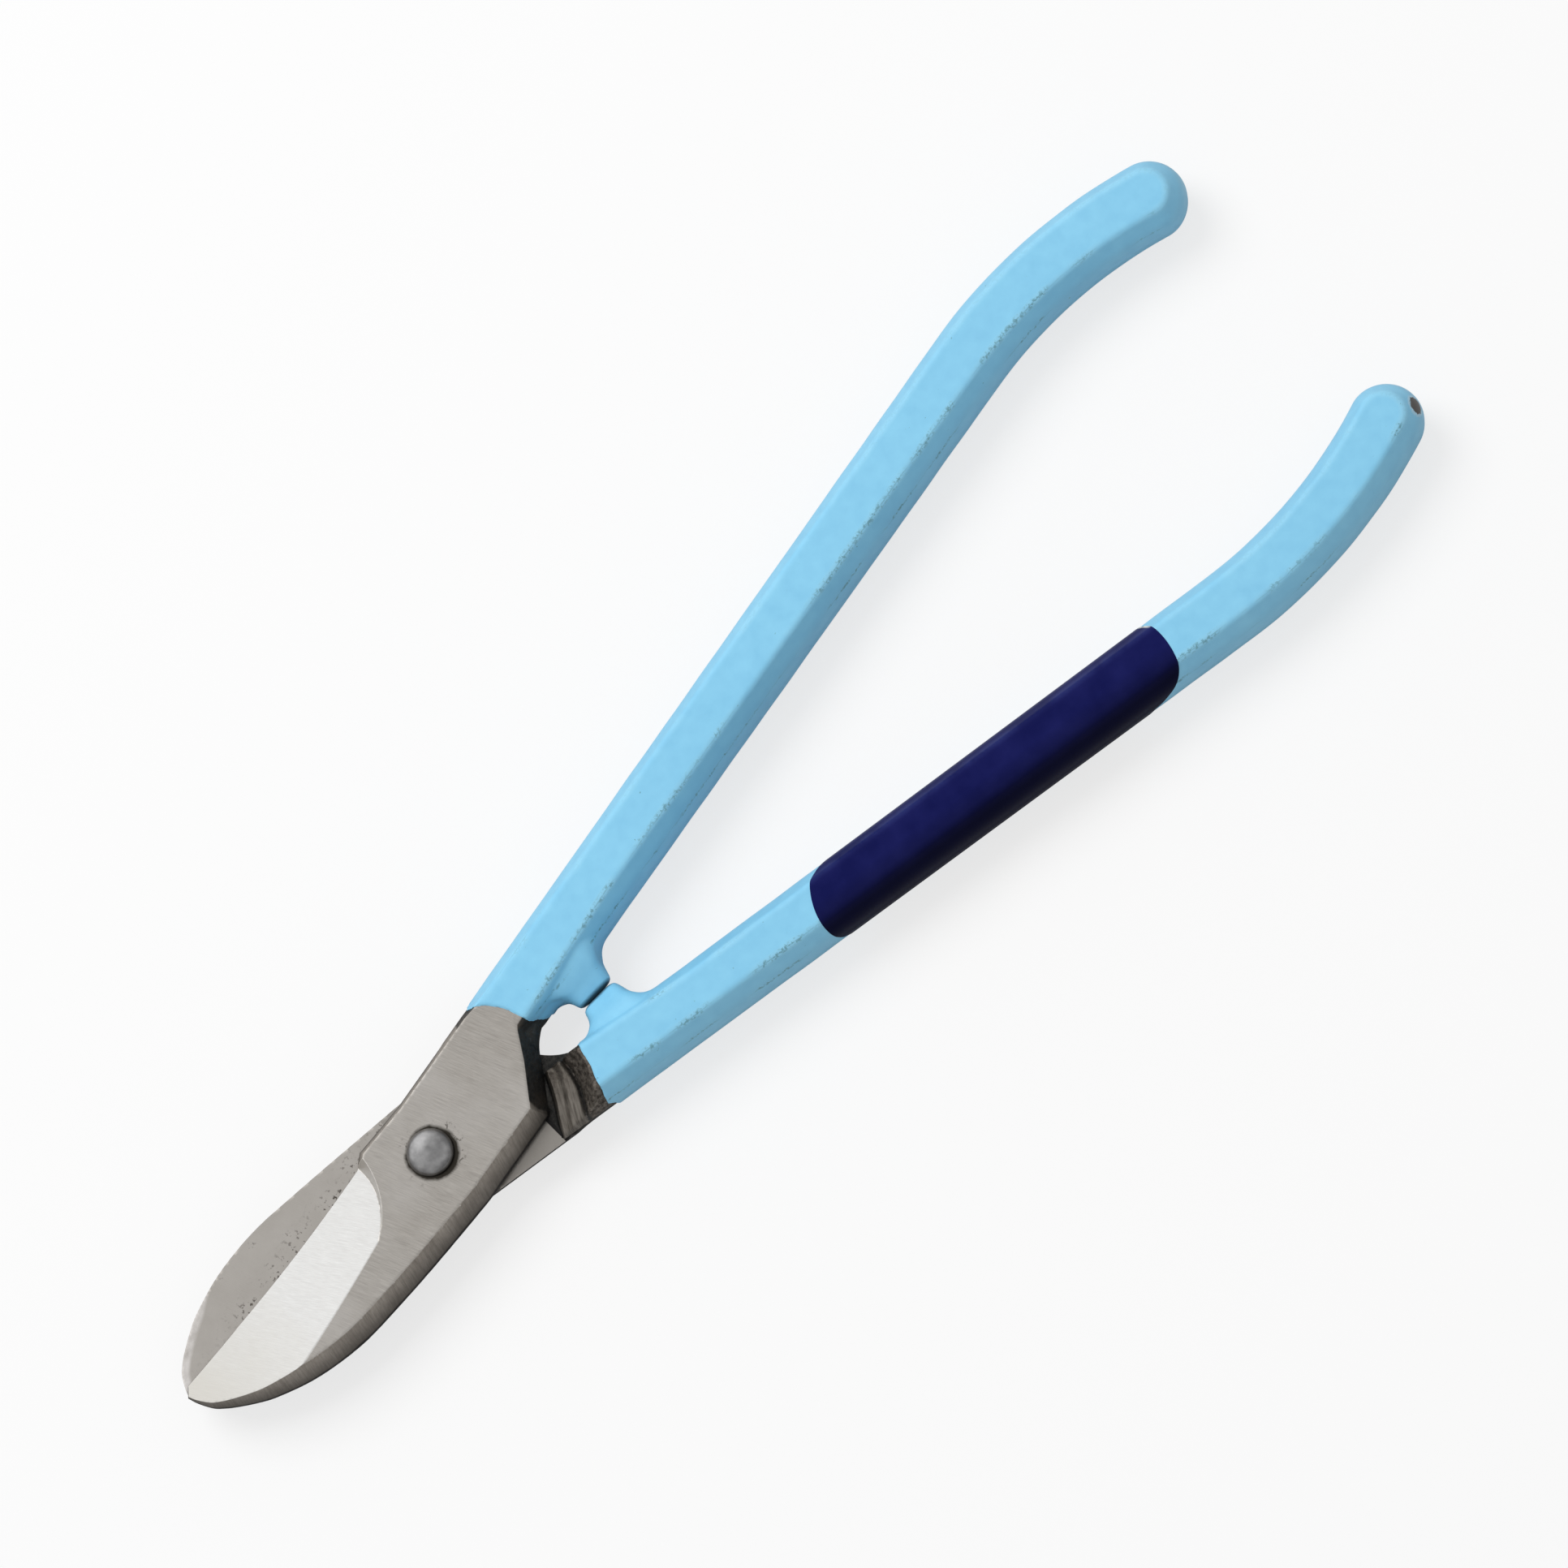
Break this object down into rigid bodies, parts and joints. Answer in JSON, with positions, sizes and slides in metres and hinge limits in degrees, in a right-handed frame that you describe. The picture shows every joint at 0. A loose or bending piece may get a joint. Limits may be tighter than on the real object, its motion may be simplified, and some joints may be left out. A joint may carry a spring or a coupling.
{
  "type": "jewellers shears",
  "caption": "Small drop forged metal snips with short curved blades, a domed pivot rivet and long enamelled handles that bend inward at their ends.",
  "frame": {"origin": "centre of the flat face of the pivot rivet's tail, the lowest point of the tool as it lies", "axes": "+X along the tool's long axis towards the handles, +Y towards the upper half's handle, +Z along the pivot axis towards the rivet's domed head"},
  "size_m": [0.1783, 0.0524, 0.0112],
  "materials": {
    "bright_steel": "ground",
    "rivet_steel": "polished",
    "blue_enamel": "gloss",
    "navy_film": "gloss"
  },
  "bodies": {
    "lower_half": {"lower_half_forging": "bright_steel", "lower_handle_enamel": "blue_enamel", "handle_label": "navy_film", "pivot_rivet": "rivet_steel"},
    "upper_half": {"upper_half_forging": "bright_steel", "upper_handle_enamel": "blue_enamel"}
  },
  "joints": [
    {"name": "blade_pivot", "type": "hinge", "parent": "lower_half", "child": "upper_half", "pos_m": [0, 0, 0.0054], "axis": [0, 0, 1], "range_deg": [0, 40]}
  ]
}
